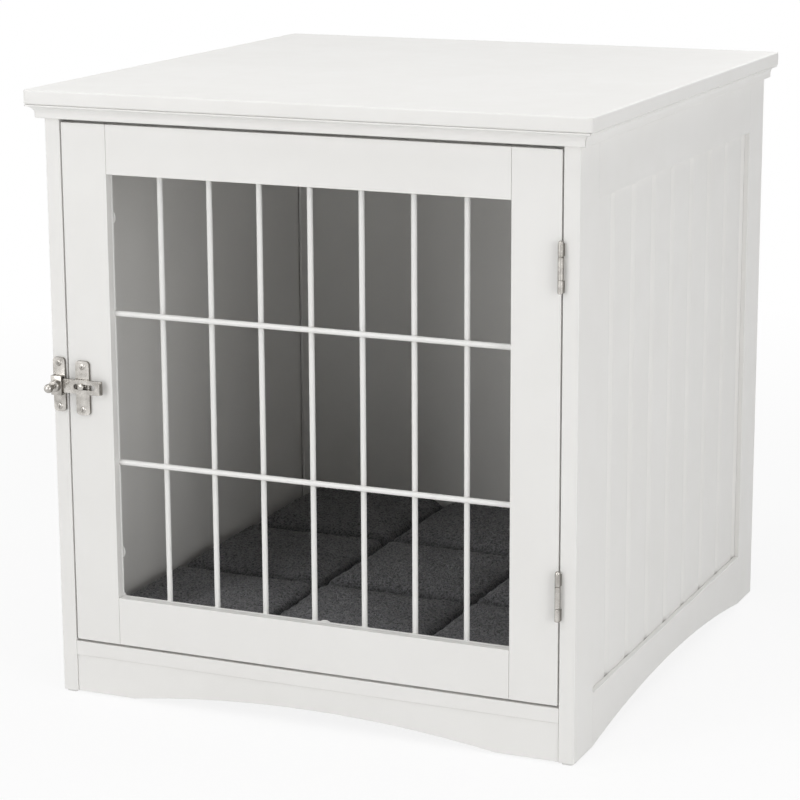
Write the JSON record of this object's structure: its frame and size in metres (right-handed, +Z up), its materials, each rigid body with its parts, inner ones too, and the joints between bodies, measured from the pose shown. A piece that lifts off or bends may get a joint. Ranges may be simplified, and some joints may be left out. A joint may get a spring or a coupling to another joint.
{
  "type": "dog crate end table",
  "caption": "White painted end table with a crate cabinet under its top: planked sides, wire-grille door on butt hinges, slide latch and a quilted charcoal mat.",
  "frame": {"origin": "on the ground under the middle of the table's full width and depth, latch knob included", "axes": "+Z up, +X to the right as one faces the door, -Y out of the door, +Y to the back"},
  "size_m": [0.48, 0.5082, 0.5055],
  "materials": {
    "white_paint": "smooth satin white paint on wood",
    "white_wire": "white powder coat, slightly glossy",
    "satin_nickel": "satin nickel plate",
    "charcoal_plush": "short plush, matt",
    "nylon": "matt moulded nylon"
  },
  "bodies": {
    "root": {"table_top": "white_paint", "moulding_front": "white_paint", "moulding_left": "white_paint", "moulding_right": "white_paint", "left_front_stile": "white_paint", "left_back_stile": "white_paint", "left_top_rail": "white_paint", "left_bottom_rail": "white_paint", "left_planked_panel": "white_paint", "left_front_glide": "nylon", "left_back_glide": "nylon", "right_front_stile": "white_paint", "right_back_stile": "white_paint", "right_top_rail": "white_paint", "right_bottom_rail": "white_paint", "right_planked_panel": "white_paint", "right_front_glide": "nylon", "right_back_glide": "nylon", "floor_board": "white_paint", "front_apron": "white_paint", "back_panel": "white_paint", "head_rail": "white_paint", "upper_hinge_cabinet_leaf": "satin_nickel", "upper_hinge_pin": "satin_nickel", "upper_hinge_cabinet_screw_top": "satin_nickel", "upper_hinge_cabinet_screw_bottom": "satin_nickel", "lower_hinge_cabinet_leaf": "satin_nickel", "lower_hinge_pin": "satin_nickel", "lower_hinge_cabinet_screw_top": "satin_nickel", "lower_hinge_cabinet_screw_bottom": "satin_nickel", "latch_cabinet_plate": "satin_nickel", "latch_cabinet_screw_top": "satin_nickel", "latch_cabinet_screw_bottom": "satin_nickel", "crate_mat": "charcoal_plush"},
    "door": {"door_latch_stile": "white_paint", "door_hinge_stile": "white_paint", "door_top_rail": "white_paint", "door_bottom_rail": "white_paint", "door_grille": "white_wire", "grille_screw_upper_left": "white_wire", "grille_screw_lower_left": "white_wire", "grille_screw_upper_right": "white_wire", "grille_screw_lower_right": "white_wire", "grille_screw_top": "white_wire", "grille_screw_bottom": "white_wire", "upper_hinge_door_leaf": "satin_nickel", "upper_hinge_door_screw_top": "satin_nickel", "upper_hinge_door_screw_bottom": "satin_nickel", "lower_hinge_door_leaf": "satin_nickel", "lower_hinge_door_screw_top": "satin_nickel", "lower_hinge_door_screw_bottom": "satin_nickel", "latch_door_plate": "satin_nickel", "latch_door_screw_top": "satin_nickel", "latch_door_screw_bottom": "satin_nickel", "latch_post": "satin_nickel"},
    "latch_bar": {"latch_bar": "satin_nickel"},
    "latch_knob": {"latch_knob": "satin_nickel"}
  },
  "joints": [
    {"name": "door_swing", "type": "hinge", "parent": "root", "child": "door", "pos_m": [0.2132, -0.23398, 0.2635], "axis": [0, 0, 1], "range_deg": [0, 170]},
    {"name": "bar_slide", "type": "slide", "parent": "door", "child": "latch_bar", "axis": [-1, 0, 0], "range_m": [-0.004, 0.0105]},
    {"name": "knob_turn", "type": "hinge", "parent": "root", "child": "latch_knob", "pos_m": [-0.22045, -0.23888, 0.265], "axis": [0, -1, 0], "range_deg": [0, 430]}
  ]
}
